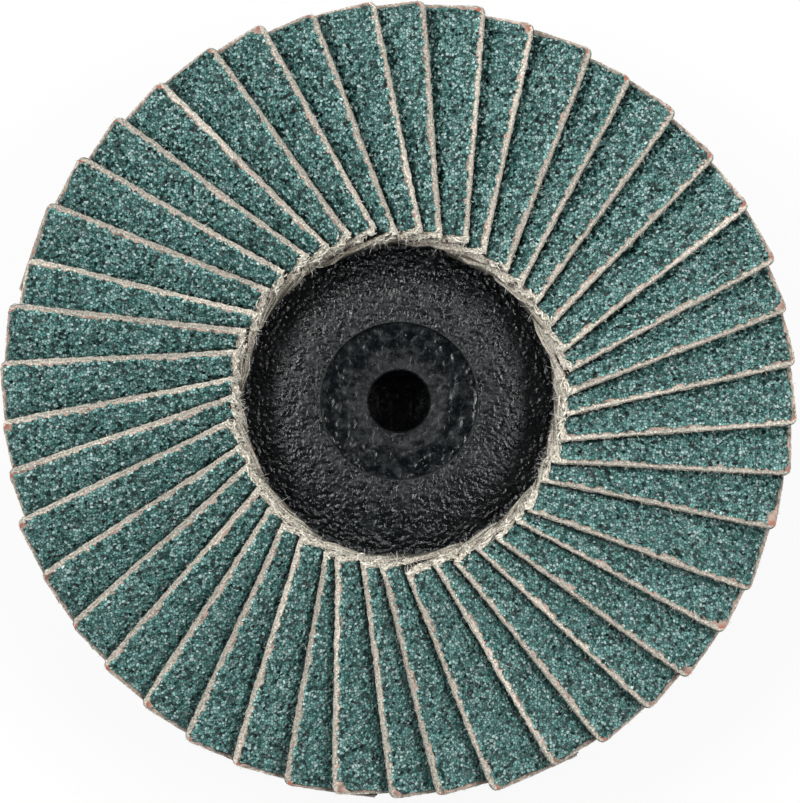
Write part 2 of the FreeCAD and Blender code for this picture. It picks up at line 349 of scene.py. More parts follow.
def coated_cloth(settings):
    """Zirconia grain set in green-dyed resin on cut cotton and polyester cloth.

    The grains are crushed, so each is a set of flat facets that catch the lamps. Most are dull teal, and
    the palest are painted near white as painted glints.
    The hollows between them are painted nearly black: painted shade in the crevices. The cut cloth is matt
    and fibrous.
    """
    material, add, shader, place = new_material("zirconia_grain_on_cloth")
    layer, corner, rubbed, fray = (
        add("Attribute", attribute_name=name)["Fac"] for name in ("layer", "corner", "rubbed", "fray")
    )
    surface = add("NewGeometry")["Normal"]
    grit = {"Vector": place, "Scale": 1 / settings.grit_pitch}
    cells = add("TexVoronoi", grit)["Color"]
    gaps = add("TexVoronoi", grit, feature="DISTANCE_TO_EDGE")["Distance"]
    split = add("SeparateColor", {"Color": cells})
    blotches, dust, ragged = (
        add("TexNoise", {"Vector": place, "Scale": 1 / (size * MM), "Detail": detail})["Fac"]
        for size, detail in ((2.4, 3.0), (0.9, 3.0), (0.25, 2.0))
    )

    # Each grain has its own depth of colour, and the palest grains are painted glints. Between grains the
    # colour is darkened: painted shade in the crevices.
    grain_tones = add("ValToRGB", {"Fac": split["Red"]}, stops=(
        (0.0, settings.hollow_colour), *shades(settings.grain_colour, (0.14, 0.4), (0.42, 1.0)),
        (0.78, "#74a09b"), (1.0, settings.painted_glint_colour),
    ))["Color"]
    crevice_shade = add("MapRange", {"Value": gaps, "From Max": 0.18, "To Min": 0.02})[0]
    patch = add("MapRange", {
        "Value": blotches, "From Min": 0.3, "From Max": 0.7, "To Min": 0.9, "To Max": 1.1,
    })[0]
    depth = add("Math", {0: crevice_shade, 1: patch}, operation="MULTIPLY")[0]

    # Along the free edge the grain is made lighter. Beside the flap above it is darkened: painted shadow of
    # that flap's raised edge.
    edge_and_shadow_tone = add("MapRange", {"Value": rubbed, "From Min": -1.0, "To Min": 0.05, "To Max": 1.95})[0]
    tone = add("Math", {0: depth, 1: edge_and_shadow_tone}, operation="MULTIPLY")[0]
    grain_colour = add("VectorMath", {0: grain_tones, "Scale": tone}, operation="SCALE")[0]

    # Cut yarns: pale, streaked along the cut, with pinkish dust and darker hollows.
    flat = add("UVMap", uv_map="cloth_mm")["UV"]
    stretched = add("Mapping", {"Vector": flat, "Scale": (5.6, 4.4, 1.0)})[0]
    streaks = add("TexNoise", {"Vector": stretched, "Scale": 1.0, "Detail": 4.0})["Fac"]
    clean_cloth = add("ValToRGB", {"Fac": streaks}, stops=shades(
        settings.cloth_colour, (0.3, 0.3), (0.42, 0.66), (0.53, 1.0), (0.68, 1.65),
    ))["Color"]
    dust_share = add("MapRange", {"Value": dust, "From Min": 0.5, "From Max": 0.75, "To Max": 0.45})[0]
    dusty_cloth = add("Mix", {
        0: dust_share, COLOUR_A: clean_cloth, COLOUR_B: opaque("#bcaaa0"),
    }, data_type="RGBA")[COLOUR_OUT]

    # Where the yarns have frayed open, most of all at the inner cut, they scatter more light.
    fluffy = add("MapRange", {"Value": fray, "To Min": 0.84, "To Max": 1.36})[0]
    frayed_cloth = add("VectorMath", {0: dusty_cloth, "Scale": fluffy}, operation="SCALE")[0]

    # Maker coat: patchy, seen where the grain has chipped away. It is dusty and pinkish, with a few bare
    # spots of red-brown resin, most of them at the worn corners.
    dusty_resin = add("ValToRGB", {"Fac": dust}, stops=(
        *shades(settings.resin_colour, (0.34, 0.45), (0.46, 1.0), (0.62, 1.6)),
        (0.74, settings.scorch_colour),
    ))["Color"]
    scorch = add("Math", {0: corner, 1: dust}, operation="ADD")[0]
    scorched = add("MapRange", {"Value": scorch, "From Min": 0.94, "From Max": 1.2})[0]
    resin_colour = add("Mix", {
        0: scorched, COLOUR_A: dusty_resin, COLOUR_B: opaque(settings.scorch_colour),
    }, data_type="RGBA")[COLOUR_OUT]

    # Cloth, maker coat and grain lie over each other, with ragged borders.
    wander = add("MapRange", {"Value": ragged, "To Min": -0.05, "To Max": 0.05})[0]
    level = add("Math", {0: layer, 1: wander}, operation="ADD")[0]
    in_resin = add("MapRange", {"Value": level, "From Min": 0.69, "From Max": 0.72})[0]
    in_grain = add("MapRange", {"Value": level, "From Min": 0.79, "From Max": 0.8})[0]

    # The cut cloth is darkened towards the flap's back: painted shade at the foot of each cut face.
    back_shade = add("MapRange", {"Value": level, "From Min": 0.08, "From Max": 0.28, "To Min": 0.1})[0]
    colour = add("VectorMath", {0: frayed_cloth, "Scale": back_shade}, operation="SCALE")[0]
    for share, over in ((in_resin, resin_colour), (in_grain, grain_colour)):
        colour = add("Mix", {0: share, COLOUR_A: colour, COLOUR_B: over}, data_type="RGBA")[COLOUR_OUT]

    # A facet for each grain, so that single grains catch the lamps.
    turned = add("VectorMath", {0: cells, 1: (0.5,) * 3}, operation="SUBTRACT")[0]
    tilted = add("VectorMath", {0: turned, 1: (0.9,) * 3, 2: surface}, operation="MULTIPLY_ADD")[0]
    facet = add("VectorMath", {0: tilted}, operation="NORMALIZE")[0]
    weave = add("Bump", {"Height": streaks, "Strength": 0.8, "Distance": 0.06 * MM})[0]
    normal = add("Mix", {
        0: in_grain, VECTOR_A: weave, VECTOR_B: facet,
    }, data_type="VECTOR")[VECTOR_OUT]
    gloss = add("MapRange", {"Value": split["Green"], "To Min": 0.18, "To Max": 0.55})[0]
    roughness = add("Mix", {0: in_grain, NUMBER_A: 0.8, NUMBER_B: gloss})[0]
    feed(shader, {
        "Base Color": colour, "Roughness": roughness, "Normal": normal, "Specular IOR Level": 0.3,
    })
    return material


def loose_fibre(settings):
    """Single cotton and polyester fibres: pale, matt and slightly uneven in tone."""
    material, add, shader, place = new_material("cotton_fibre")
    uneven = add("TexNoise", {"Vector": place, "Scale": 1 / (0.35 * MM), "Detail": 3.0})["Fac"]
    colour = add("ValToRGB", {"Fac": uneven}, stops=shades(
        settings.fibre_colour, (0.3, 0.5), (0.5, 1.0), (0.7, 1.15),
    ))["Color"]
    feed(shader, {"Base Color": colour, "Roughness": 0.75})
    return material


def moulded_plastic(settings):
    """Black glass-filled nylon from a spark-eroded mould.

    The eroded mould leaves a fine satin grain, so lamps break up into specks. Where the tool was polished,
    in the recess, it is smoother and clouded by the flow of the plastic.
    """
    material, add, shader, place = new_material("black_glass_filled_nylon")
    smooth, frost = (add("Attribute", attribute_name=name)["Fac"] for name in ("polish", "frost"))
    specks, clouds, waves = (
        add("TexNoise", {
            "Vector": place, "Scale": 1 / (size * MM), "Detail": detail, "Roughness": crispness,
        })["Fac"]
        for size, detail, crispness in ((0.24, 1.0, 0.6), (1.0, 5.0, 0.72), (0.9, 1.0, 0.5))
    )
    colour = add("ValToRGB", {"Fac": clouds}, stops=shades(
        settings.plastic_colour, (0.35, 0.55), (0.55, 1.0), (0.7, 2.2),
    ))["Color"]
    uneven = add("MapRange", {
        "Value": clouds, "From Min": 0.36, "From Max": 0.64, "To Min": 0.12, "To Max": 0.38,
    })[0]
    roughness = add("Math", {0: frost, 1: 0.09, 2: uneven}, operation="MULTIPLY_ADD")[0]
    depth = add("MapRange", {
        "Value": smooth, "From Min": -1.0, "To Min": 0.14 * MM, "To Max": 0.025 * MM,
    })[0]
    flow = add("Bump", {"Height": waves, "Strength": smooth, "Distance": 0.2 * MM})[0]
    grain = add("Bump", {"Height": specks, "Strength": 1.0, "Distance": depth, "Normal": flow})[0]
    feed(shader, {"Base Color": colour, "Roughness": roughness, "Normal": grain})
    return material


def cast_resin(settings):
    """Filled epoxy, poured and cured: dull amber brown, with settled filler and small bubbles."""
    material, add, shader, place = new_material("filled_epoxy")
    filler = add("TexNoise", {"Vector": place, "Scale": 1 / (0.7 * MM), "Detail": 5.0})["Fac"]
    bubbles = add("TexVoronoi", {"Vector": place, "Scale": 1 / (1.3 * MM)})["Distance"]
    colour = add("ValToRGB", {"Fac": filler}, stops=shades(
        settings.bed_colour, (0.35, 0.5), (0.55, 1.0), (0.7, 1.5),
    ))["Color"]
    pits = add("MapRange", {"Value": bubbles, "From Min": 0.05, "From Max": 0.3})[0]
    bump = add("Bump", {"Height": pits, "Strength": 0.4, "Distance": 0.12 * MM})[0]
    feed(shader, {"Base Color": colour, "Normal": bump, "Roughness": 0.42})
    return material


# ---- flaps ----

LAYERS = 4  # bands through the thickness on a cut face
BACK_COLUMNS = 4  # faces across a flap's back
ROOT_COLUMNS = 4  # coarse faces across the hidden part of the coated face
EDGE_COLUMNS = 36  # fine faces across the part that shows
COLUMNS = ROOT_COLUMNS + EDGE_COLUMNS
TURN = COLUMNS + BACK_COLUMNS + 2 * LAYERS  # points round the section
INNER_ROWS, INNER_PITCH = 1.0, 0.06  # reach and pitch of the close rows at the inner cut, mm
OUTER_ROWS, OUTER_PITCH = 0.9, 0.09  # the same at the outer cut
ROW_PITCH = 0.18  # pitch of the rows between, mm
FINE_WIDTH, FINE_FAN = 3.2, 3.8  # width of the fine faces at the inner cut and its gain outwards, mm
JITTER = 0.3  # how far a point strays, in steps of the grid
RESIN_LEVEL = 0.75  # share of the thickness left where grain has chipped away
CLOTH_LEVEL = 0.62  # share left where the resin has gone too
CHIP_SLOPE = 0.07 * MM  # slope round a chipped place
UNDERCUT = 0.1 * MM  # how far the free edge leans back under the coat
SAG = 0.9 * MM  # droop of the outer free corner towards the next flap
SAG_REACH = 5 * MM  # how far in from the free edge it starts
PRESSED = 0.26  # share of the thickness lost at the free edge, pressed as the resin cured
PRESSED_REACH = 2.6 * MM  # how far in that starts
PROUD = 0.06 * MM  # how far frayed yarn stands past the CAD's free edge
SHADOW_STRIP = 0.5 * MM  # strip beside the flap above whose grain is darkened: painted shadow
PALE_EDGE = 0.75 * MM  # strip along the free edge whose grain is made lighter
WORN_CORNER = 1.5 * MM  # reach of the wear at the outer free corner
BACK_MAP_SHIFT = 12 * MM  # keeps the streaks of back and coat apart
FIBRE_NUMBER = 0.3  # each of the skin's numbers, on fibres

# Loose fibres at each cut: points in one, spread of directions, shortest and longest in mm.
FIBRES = {
    "edge": (4, 0.9, 0.1, 0.45),
    "outer": (4, 0.7, 0.08, 0.3),
    "inner": (6, 1.1, 0.15, 1.2),
}


class Strip:
    """A CAD flap read back as a strip of cloth, so that points can be put on it."""

    def __init__(self, node):
        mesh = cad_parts[node].data
        points = column(mesh.vertices, "co", 3)
        radial = unit(column(mesh.polygons, "center", 3) * (1, 1, 0))
        normals = column(mesh.polygons, "normal", 3)
        self.outward = unit(-normals[(normals * radial).sum(axis=1).argmin()])
        self.clockwise = unit(np.cross(self.outward, (0, 0, 1)))
        self.upward = np.cross(self.clockwise, self.outward)
        section = points @ np.array((self.clockwise, self.upward)).T
        self.middle = section.mean(axis=0)
        rise = np.linalg.svd(section - self.middle, full_matrices=False)[2][0]
        self.rise = rise * np.sign(rise[0])
        self.off = np.array((-self.rise[1], self.rise[0]))
        way = (section - self.middle) @ self.rise
        gap = (section - self.middle) @ self.off
        coated = gap > np.polyval(np.polyfit(way, gap, 2), way)
        self.faces = []
        for side in (~coated, coated):
            self.faces.append((np.polyfit(way[side], gap[side], 2), way[side].min(), way[side].max()))
        lengths = points @ self.outward
        self.start = lengths.min()
        self.end = lengths.max()
        self.width = np.mean([face[2] - face[1] for face in self.faces])
        self.thickness = np.linalg.norm(np.subtract(*(self.on_face(face, 0.5) for face in self.faces)))

    def on_face(self, face, share):
        """A point of the section on one face, from the root at 0 to the free edge at 1."""
        curve, low, high = face
        way = low + (high - low) * np.asarray(share)
        return self.middle + way[..., None] * self.rise + np.polyval(curve, way)[..., None] * self.off

    def place(self, along, across, height):
        """Points out along the flap, across it from the free edge and up from its back."""
        share = 1 - across / self.width
        back, coat = (self.on_face(face, share) for face in self.faces)
        droop = SAG * ease((along - self.start) / (self.end - self.start)) * ease(1 - across / SAG_REACH)
        pressed = 1 - PRESSED * ease(1 - across / PRESSED_REACH)
        flat = back + (coat - back) * ((height * pressed - droop) / self.thickness)[..., None]
        ahead = along[..., None] * self.outward
        return flat[..., :1] * self.clockwise + flat[..., 1:] * self.upward + ahead


def flap_rows(strip):
    """Places along the flap, closer together near both cuts."""
    inner = np.arange(0, INNER_ROWS, INNER_PITCH) * MM
    outer = np.arange(OUTER_ROWS, -0.01, -OUTER_PITCH) * MM
    steps = int((strip.end - strip.start - (INNER_ROWS + OUTER_ROWS) * MM) / (ROW_PITCH * MM))
    between = np.linspace(strip.start + INNER_ROWS * MM, strip.end - OUTER_ROWS * MM, steps + 1)[:-1]
    return np.concatenate((strip.start + inner, between, strip.end - outer))


def flap_grid(strip, settings, rng):
    """Places along and across for each point of the coated face, fanned out like the part that shows."""
    rows = flap_rows(strip)
    share = (rows - strip.start) / (strip.end - strip.start)
    reach = (FINE_WIDTH + FINE_FAN * share[:, None]) * MM
    fine = (np.arange(EDGE_COLUMNS, -1, -1) / EDGE_COLUMNS) ** 1.15
    coarse = np.arange(ROOT_COLUMNS) / ROOT_COLUMNS
    across = np.hstack((strip.width + (reach - strip.width) * coarse, reach * fine))
    along = np.repeat(rows[:, None], COLUMNS + 1, axis=1)
    loose = (slice(1, -1), slice(ROOT_COLUMNS + 1, -1))
    along[loose] += rng.uniform(-JITTER, JITTER, along[loose].shape) * np.gradient(rows)[1:-1, None]
    across[loose] += rng.uniform(-JITTER, JITTER, across[loose].shape) * -np.gradient(across, axis=1)[loose]

    # The outer free corner is worn round.
    past = np.clip(along - (strip.end - settings.corner_round), 0, settings.corner_round)
    inset = settings.corner_round - np.sqrt(settings.corner_round ** 2 - past ** 2)
    edge = inset - PROUD
    across = edge + across * (strip.width - edge) / strip.width

    # The inner cut has frayed into lobes, each about a yarn wide.
    lobes = lumps(np.stack((across, across), axis=-1).reshape(-1, 2), 0.55 * MM, rng).reshape(along.shape)
    along += (0.5 - lobes) * 0.5 * MM * ease(1 - (along - strip.start) / (1.2 * MM))
    return along, across


def flap_heights(strip, along, across, settings, rng):
    """Height of each point of the coated face over the back: grains, and bare places at the cuts."""
    spots = np.stack((along, across), axis=-1).reshape(-1, 2)
    shape = along.shape
    relief = grains(spots, settings.grit_pitch, rng, 0.9, 0.0).reshape(shape)
    broad = lumps(spots, 1.6 * MM, rng).reshape(shape)
    small = lumps(spots, 0.24 * MM, rng).reshape(shape)
    ragged = 0.6 * broad + 0.4 * small
    height = strip.thickness - settings.coat_drop + settings.grit_relief * relief
    corner = np.hypot(strip.end - 0.15 * MM - along, across - 0.15 * MM)

    # Distance from a cut, how far in from it the coat has chipped, and what is left of the thickness.
    chips = (
        (across, (0.1 + 0.5 * ease((ragged - 0.3) / 0.5)) * MM, RESIN_LEVEL),
        (across, (0.08 + 0.42 * small) * MM, CLOTH_LEVEL),
        (corner, (0.3 + 1.5 * rng.random() * ragged) * MM, RESIN_LEVEL),
        (strip.end - along, (0.14 + 0.4 * ragged) * MM, RESIN_LEVEL),
        (strip.end - along, (0.04 + 0.2 * small) * MM, CLOTH_LEVEL),
        (along - strip.start, (0.27 + 0.55 * ragged) * MM, CLOTH_LEVEL),
    )
    for distance, limit, level in chips:
        bare = ease((limit - distance) / CHIP_SLOPE)
        left = strip.thickness * level + 0.02 * MM * relief
        height = height + bare * (np.minimum(left, height) - height)

    # The inner cut has frayed: yarns that run across the flap show as uneven ridges.
    near_cut = ease((1.0 * MM - (along - strip.start)) / (0.4 * MM))
    wavy = (along - strip.start) / (0.26 * MM) + 1.6 * broad + 0.7 * small
    return height + near_cut * 0.06 * MM * (np.cos(FULL_TURN * wavy) + 1.4 * (small - 0.5))


def flap_faces(row_count):
    """Faces of a flap: the skin round its section, then the two cut ends."""
    faces = wrapped(row_count, TURN)
    back = COLUMNS + LAYERS
    extra = row_count * TURN
    marks = np.linspace(0, 1, COLUMNS + 1)
    back_marks = np.linspace(0, 1, BACK_COLUMNS + 1)
    for row in (0, row_count - 1):
        here = row * TURN
        chains = [list(range(here, here + COLUMNS + 1))]
        for layer in range(1, LAYERS):
            root = here + back + BACK_COLUMNS + LAYERS - layer
            chains.append([root, *range(extra, extra + COLUMNS - 1), here + COLUMNS + layer])
            extra += COLUMNS - 1
        end_faces = []
        for upper, lower in zip(chains, chains[1:]):
            end_faces.extend(zip(upper, upper[1:], lower[1:], lower))
        bottom = range(here + back + BACK_COLUMNS, here + back - 1, -1)
        end_faces.extend(zip_chains(chains[-1], bottom, marks, back_marks))
        faces.extend(end_faces if row else flipped(end_faces))
    return faces


def flap_skin(strip, above, settings, rng):
    """Points of a flap, in the order of flap_faces, with numbers for its material and flat places."""
    along, across = flap_grid(strip, settings, rng)
    top = flap_heights(strip, along, across, settings, rng)
    rows = len(along)
    drops = 1 - np.arange(1, LAYERS) / LAYERS
    along_free = np.repeat(along[:, -1:], LAYERS - 1, axis=1)
    spots = np.stack((along_free, np.tile(drops * strip.thickness, (rows, 1))), axis=-1).reshape(-1, 2)
    bulge = (lumps(spots, 0.3 * MM, rng).reshape(rows, -1) - 0.6) * 0.2 * MM + UNDERCUT * (1 - drops)
    back_edge = across[:, -1:] + UNDERCUT
    back_across = back_edge + (strip.width - back_edge) * np.linspace(0, 1, BACK_COLUMNS + 1)
    root_across = np.full((rows, LAYERS - 1), strip.width)
    parts = [[np.hstack(bands).ravel() for bands in (
        (
            along, along_free, np.repeat(along[:, -1:], BACK_COLUMNS + 1, axis=1),
            np.repeat(along[:, :1], LAYERS - 1, axis=1),
        ),
        (across, across[:, -1:] + bulge, back_across, root_across),
        (top, top[:, -1:] * drops, np.zeros((rows, BACK_COLUMNS + 1)), top[:, :1] * drops[::-1]),
        (across, top[:, -1:] * (drops - 1), back_across - BACK_MAP_SHIFT, root_across),
    )]]
    for row, push in ((0, -1), (rows - 1, 1)):
        inside = across[row, 1:-1]
        for drop in drops:
            spots = np.stack((inside, np.full(COLUMNS - 1, drop * strip.thickness)), axis=-1)
            rough = (lumps(spots, 0.25 * MM, rng) - 0.6) * 0.16 * MM
            leant = inside + UNDERCUT * (1 - drop) * (1 - inside / strip.width)
            parts.append((along[row, 1:-1] + push * rough, leant, top[row, 1:-1] * drop, leant))
    along, across, height, flat = (np.concatenate(values) for values in zip(*parts))
    points = strip.place(along, across, height)
    from_cut = along - strip.start
    # Beside the edge of the flap above, the grain gets painted shadow.
    edge_above = above.place(along[:1], np.array([UNDERCUT]), np.zeros(1))[0] @ above.clockwise
    painted_shadow = ease(1 - (points @ above.clockwise - edge_above) / SHADOW_STRIP)
    frayed = ease((1.3 * MM - from_cut) / (0.5 * MM))

    # Some flaps are cut with a blunter knife than others, so stretches of their free edge are fluffy too.
    blunt = rng.random() ** 1.3
    stretch = 0.5 + 0.5 * np.sin(from_cut / (3.2 * MM) + rng.uniform(0, FULL_TURN))
    numbers = {
        "layer": height / strip.thickness,
        "corner": np.clip(1 - np.hypot(strip.end - along, across) / WORN_CORNER, 0, 1),
        # Lighter along the free edge, minus the painted shadow beside the flap above.
        "rubbed": ease(1 - across / PALE_EDGE) - painted_shadow,
        "fray": np.maximum(frayed, blunt * (0.3 + 0.7 * stretch)),
    }
    return points, numbers, np.stack((along, flat), axis=-1)


def fibres(strip, count, where, rng):
    """Loose fibres along one cut of a flap, as points and faces."""
    steps, spread, shortest, longest = FIBRES[where]
    along = rng.uniform(strip.start, strip.end - 0.4 * MM, count)
    across = np.full(count, 0.02 * MM)
    height = rng.uniform(0.08, 0.7, count) * strip.thickness
    if where != "edge":
        across = rng.uniform(0.05, 5.5 if where == "outer" else 3.2, count) * MM
        along = np.full(count, strip.end - 0.03 * MM if where == "outer" else strip.start + 0.05 * MM)
    root = strip.place(along, across, height)
    up = unit(strip.place(along, across, height + 0.1 * MM) - root)
    across_way = unit(strip.place(along, across - 0.1 * MM, height) - root)
    length_way = np.broadcast_to(strip.outward, root.shape)
    lead = {"edge": across_way, "outer": length_way, "inner": -length_way}[where]
    side = length_way if where == "edge" else across_way
    way = unit(lead + side * rng.normal(0, spread, (count, 1)) + up * rng.normal(0.1, 0.45, (count, 1)))
    bend = unit(rng.normal(0, 1, (count, 3))) * rng.uniform(0.1, 0.6, (count, 1))
    reach = shortest + (longest - shortest) * rng.random((count, 1)) ** 3
    pace = np.linspace(0, 1, steps)[None, :, None]
    reach = reach[:, None] * MM
    paths = root[:, None] + way[:, None] * pace * reach + bend[:, None] * pace ** 2 * reach
    thick = rng.uniform(0.016, 0.032, (count, 1)) * MM
    return tubes(paths, thick * (1 - 0.55 * pace[..., 0]), 3)


def frayed_yarns(strip, count, rng):
    """Short pieces of yarn that lie loose along the inner cut, as points and faces. Sizes are in mm."""
    pace = np.linspace(0, 1, 10)[None]
    middle = rng.uniform(0.1, 2.6, (count, 1))
    length = rng.uniform(0.4, 1.5, (count, 1))

    # The first two lie at the free corner, which shows most.
    middle[:2] = 0.22
    length[:2] = 0.5
    across = np.maximum(middle + (pace - 0.5) * length, -0.08 + 0.12 * pace)
    rank = rng.uniform(-0.2, 0.6, (count, 1))
    turn = rng.normal(0, 0.5, (count, 1))
    sway = rng.uniform(0, FULL_TURN, (count, 3, 1))
    wave = np.sin(across / 0.27 + sway[:, 0]) * 0.09 + np.sin(across / 0.13 + sway[:, 1]) * 0.04
    out = np.clip(rank + wave + turn * (pace - 0.5) * length, -0.25, 0.9)
    lift = 0.6 + 0.24 * np.clip(out / 0.4, -1, 1) + 0.1 * np.sin(across / 0.2 + sway[:, 2])
    paths = strip.place(strip.start + out * MM, across * MM, lift * strip.thickness)
    plump = rng.uniform(0.04, 0.105, (count, 1)) * (1 + 0.3 * np.sin(across / 0.1 + sway[:, 1]))
    return tubes(paths, plump * (0.3 + 0.7 * np.sin(math.pi * pace) ** 0.5) * MM, 5)


class FLAPDISC_OT_flaps(bpy.types.Operator):
    """Builds the overlapping flaps of coated cloth on their CAD solids"""

    bl_idname = "flap_disc.flaps"
    bl_label = "Abrasive flaps"

    def execute(self, context):
        settings = context.scene.flap_disc_flaps
        materials = (coated_cloth(settings), loose_fibre(settings))
        skin_faces = {}
        strips = [Strip(node) for node in FLAPS]
        for order, (node, strip) in enumerate(zip(FLAPS, strips)):
            rng = np.random.default_rng(4100 + order)
            row_count = len(flap_rows(strip))
            if row_count not in skin_faces:
                skin_faces[row_count] = flap_faces(row_count)
            skin = skin_faces[row_count]
            skin_points, numbers, flat = flap_skin(strip, strips[order - 1], settings, rng)
            parts = [(skin_points, skin)]
            for where in FIBRES:
                parts.append(fibres(strip, getattr(settings, where + "_fibres"), where, rng))
            parts.append(frayed_yarns(strip, settings.yarns, rng))
            points, faces = join_parts(parts)
            piece = new_piece("cloth_" + node, points, faces, materials, node)
            mesh = piece.data
            spare = len(points) - len(skin_points)
            for name, values in numbers.items():
                vertex_numbers(mesh, name, np.concatenate((values, np.full(spare, FIBRE_NUMBER))))
            vertex_map(mesh, np.concatenate((flat, np.zeros((spare, 2)))))
            loose = np.arange(len(faces)) >= len(skin)
            mesh.polygons.foreach_set("material_index", loose.astype(np.int32))
            mesh.polygons.foreach_set("use_smooth", loose)
            mesh.update()
        return {"FINISHED"}


# ---- plate ----

HUB_TURNS = 600  # faces round the grained hub
RECESS_TURNS = 250  # and round the recess
HOLE_TURNS = 125  # and round the core hole
RING_STEP = 0.13 * MM  # distance between rings of points on the hub
RECESS_STEP = 0.2 * MM  # and in the recess
SKIRT = 0.84 * MM  # width of the grained ring round the hub's foot
GRAIN_RADIUS = 11.8 * MM  # the hub's grain is finer inside it and coarser outside it
DISH = 0.3 * MM  # how far the recess sinks to its middle
LIP_POLISH = 0.6  # polish of the recess's worn lip, the most matt place
LIP_DRAFT = 0.13 * MM  # how far the recess's wall leans out at its lip
MOUTH_WEAR = 0.16  # polish lost round the mouth of the core hole
MOUTH_RADIUS = 5.6 * MM  # where that wear starts
MOUTH_FADE = 1.8 * MM  # how far in from there it is full
BARE_RADIUS = 3.2 * MM  # nothing is grained inside it
LEAST_GRAIN = 0.06  # share of the grain's relief on polished places
SHELL_POLISH = 0.7  # polish of the rim and the back
SAME = 0.01 * MM  # places closer than this are one
FLANGE_RADIUS = 30 * MM  # only the flange lies outside it
CORE_RADIUS = 3.5 * MM  # the core hole's mouth is the highest thing inside it


def bearing(point):
    """Direction of a point from the disc's axis, from 0 to a full turn."""
    return math.atan2(point[1], point[0]) % FULL_TURN


def plate_shell():
    """The CAD plate without its top, as points, faces, the open ring at the rim and the top's corners."""
    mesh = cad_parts[PLATE].data
    points, welded = np.unique(column(mesh.vertices, "co", 3).round(7), axis=0, return_inverse=True)
    welded = welded.ravel()
    out = np.hypot(points[:, 0], points[:, 1])
    flange_top = points[out > FLANGE_RADIUS, 2].max()
    bore = out[np.isclose(points[:, 2], points[out < CORE_RADIUS, 2].max())].min()
    rim = out[np.isclose(points[:, 2], flange_top)].max()
    faces = []
    hub_points = set()
    for polygon in mesh.polygons:
        face = tuple(int(welded[index]) for index in polygon.vertices)
        middle = points[list(face)].mean(axis=0)
        on_top = middle[2] > flange_top - SAME / 2
        in_hole = math.hypot(middle[0], middle[1]) < bore + SAME / 10 and middle[2] > MM
        if on_top or in_hole:
            hub_points.update(face)
        else:
            faces.append(face)
    corners = {(round(out[index], 6), round(points[index, 2], 6)) for index in hub_points}
    ring = [index for index in hub_points if abs(out[index] - rim) < SAME]
    ring.sort(key=lambda index: bearing(points[index]))
    return points, faces, ring, sorted(corners, key=lambda corner: (-corner[0], -corner[1]))


def smoothness(radius):
    """Polish of the grained hub: the mould's grain is finer near the recess and coarsest at the foot."""
    inner = ease((GRAIN_RADIUS - radius) / (3.4 * MM))
    foot = ease((radius - GRAIN_RADIUS) / (2.2 * MM))
    return float(0.3 * inner - 0.9 * foot)


def hub_profile(corners):
    """Radius, height, polish and count of faces down the hub: foot, dome, recess, hole and its floor."""
    corners = corners[1:]
    foot = corners[0]
    top = max(height for _, height in corners)
    level = [corner for corner in corners if corner[1] == top]
    shoulder, lip = level[0], level[-1]
    step = next(corner for corner in corners if corner[0] < lip[0] + SAME and corner[1] < top)
    mouth = [corner for corner in corners if corner[1] == step[1]][-1]
    hole = next(corner for corner in corners if corner[0] < mouth[0])
    floor = min(height for _, height in corners)
    chord = (shoulder[1] - foot[1]) / (shoulder[0] - foot[0])
    dome = [corner for corner in corners if corner[0] >= shoulder[0]]
    knee = max(dome, key=lambda corner: corner[1] - foot[1] - chord * (corner[0] - foot[0]))
    curve = np.polyfit(*np.array((foot, knee, shoulder)).T, 2)
    rings = []
    for start, end, line in (
        (foot[0] + SKIRT, foot[0], (foot[1],)),
        (foot[0] - 0.12 * MM, shoulder[0], curve),
        (shoulder[0], lip[0] + 0.25 * MM, (top,)),
    ):
        for radius in np.arange(start, end, -RING_STEP):
            rings.append((radius, np.polyval(line, radius), smoothness(radius), HUB_TURNS))
    rings.append((lip[0] + LIP_DRAFT, top, LIP_POLISH, HUB_TURNS))
    rings.append((*step, 1.0, RECESS_TURNS))
    for radius in np.arange(step[0] - 0.25 * MM, mouth[0] + 0.1 * MM, -RECESS_STEP):
        polish = 1 - MOUTH_WEAR * ease((MOUTH_RADIUS - radius) / MOUTH_FADE)
        rings.append((radius, step[1] - DISH * (1 - (radius / step[0]) ** 2), polish, RECESS_TURNS))
    sunk = DISH * (1 - (mouth[0] / step[0]) ** 2)
    rings.append((mouth[0], mouth[1] - sunk, 1 - MOUTH_WEAR, RECESS_TURNS))
    rings.append((hole[0], hole[1] - sunk, 1.0, RECESS_TURNS))
    for height in np.linspace(hole[1] - sunk, floor, 16)[1:]:
        rings.append((hole[0], height, 1.0, HOLE_TURNS))
    for radius in np.linspace(hole[0], 0, 8)[1:-1]:
        rings.append((radius, floor, 1.0, HOLE_TURNS))
    return rings


def turned_hub(rings, settings, rng):
    """Points, faces and polish of the hub's skin, with its moulded grain as real relief."""
    points = []
    polish = []
    faces = []
    chains = []
    total = 0
    for radius, height, smooth, turns in rings:
        angles = np.arange(turns) * FULL_TURN / turns
        points.append(np.stack((
            radius * np.cos(angles), radius * np.sin(angles), np.full(turns, height),
        ), axis=1))
        polish.append(np.full(turns, smooth))
        chains.append([*range(total, total + turns), total])
        total += turns
    for upper, lower in zip(chains, chains[1:]):
        if len(upper) == len(lower):
            faces.extend(zip(upper, lower, lower[1:], upper[1:]))
        else:
            marks = (np.linspace(0, 1, len(upper)), np.linspace(0, 1, len(lower)))
            faces.extend(flipped(zip_chains(upper, lower, *marks)))
    faces.extend((one, total, other) for one, other in zip(chains[-1], chains[-1][1:]))
    points = np.concatenate(points + [np.array([[0.0, 0.0, rings[-1][1]]])])
    polish = np.concatenate(polish + [np.ones(1)])
    flat = points[:, :2]
    pebbles = grains(flat, settings.grain_pitch, rng, 0.3, 1.8)
    relief = pebbles + lumps(flat, settings.grain_pitch * 0.5, rng) - 0.2
    fade = np.maximum(1 - polish, LEAST_GRAIN)
    fade[np.hypot(*flat.T) < BARE_RADIUS] = 0
    points[:, 2] += relief * settings.grain_relief * fade
    return points, faces, polish


